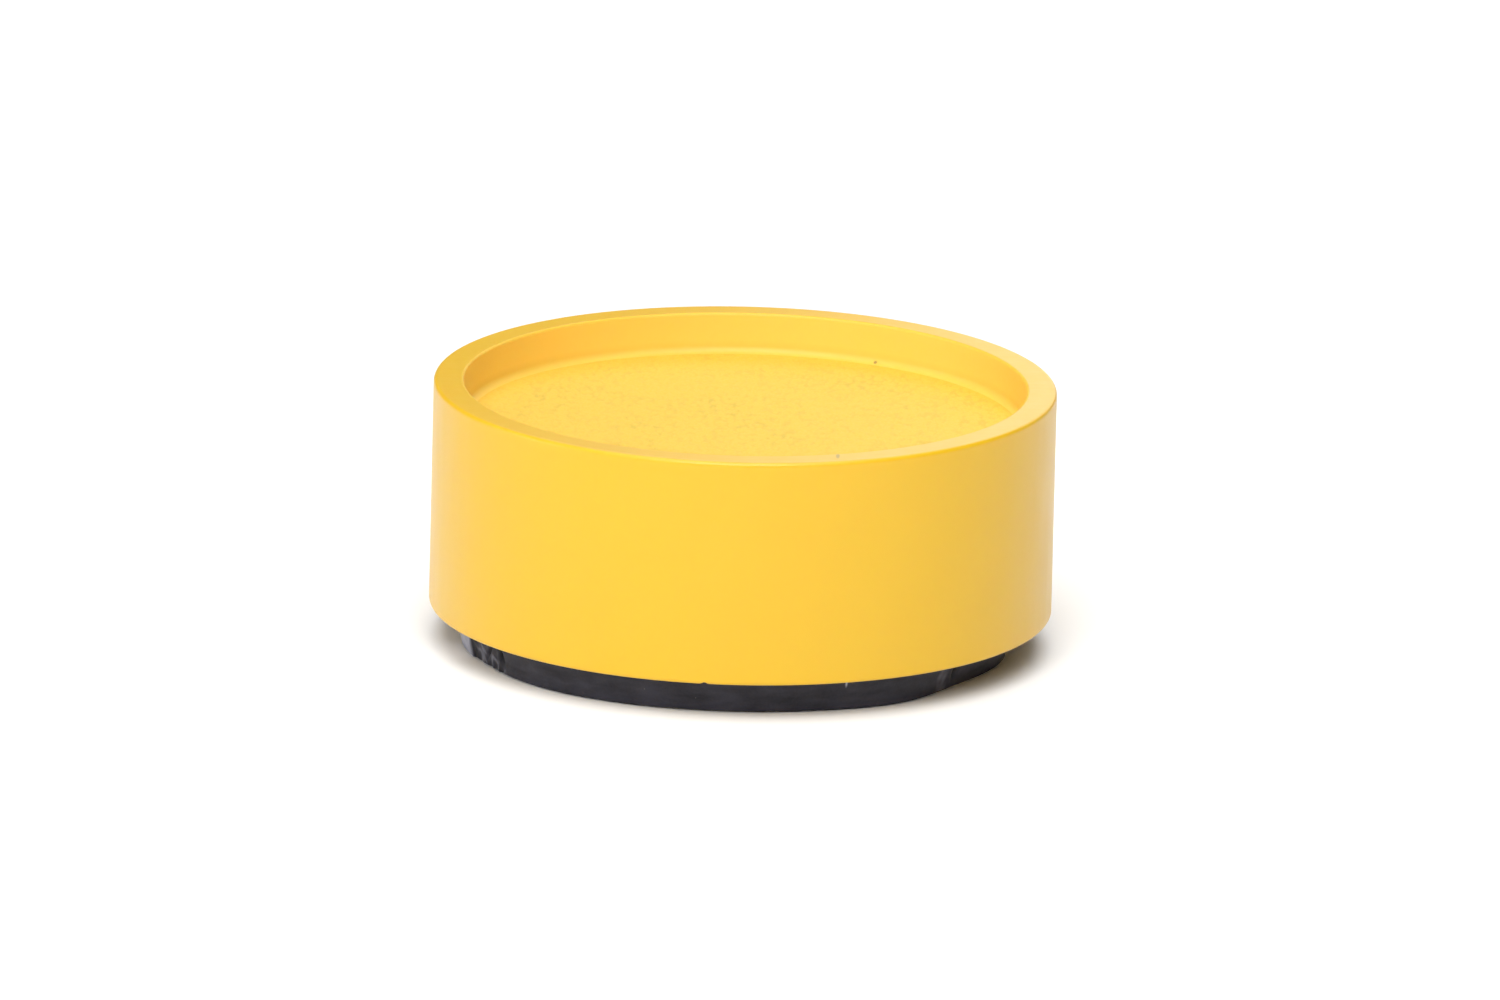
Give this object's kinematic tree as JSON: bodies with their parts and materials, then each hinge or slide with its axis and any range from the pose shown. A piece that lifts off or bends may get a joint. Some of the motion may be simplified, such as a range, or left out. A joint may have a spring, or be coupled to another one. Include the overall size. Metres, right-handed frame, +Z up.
{
  "type": "raised pavement marker",
  "caption": "Round yellow plastic road marker with a flat rim around a shallow textured recess, on a black adhesive pad.",
  "frame": {"origin": "centre of the face that rests on the road, under the release liner", "axes": "+Z up along the axis of the round shell, out of the recess; X and Y are level, and a rib of the shell runs along +X"},
  "size_m": [0.0762, 0.0762, 0.0327],
  "materials": {
    "yellow_shell": "satin",
    "cast_filler": "matte",
    "butyl_pad": "matte",
    "liner_paper": "satin"
  },
  "bodies": {
    "root": {"marker_shell": "yellow_shell", "filler_core": "cast_filler", "adhesive_pad": "butyl_pad", "release_liner": "liner_paper"}
  },
  "joints": []
}
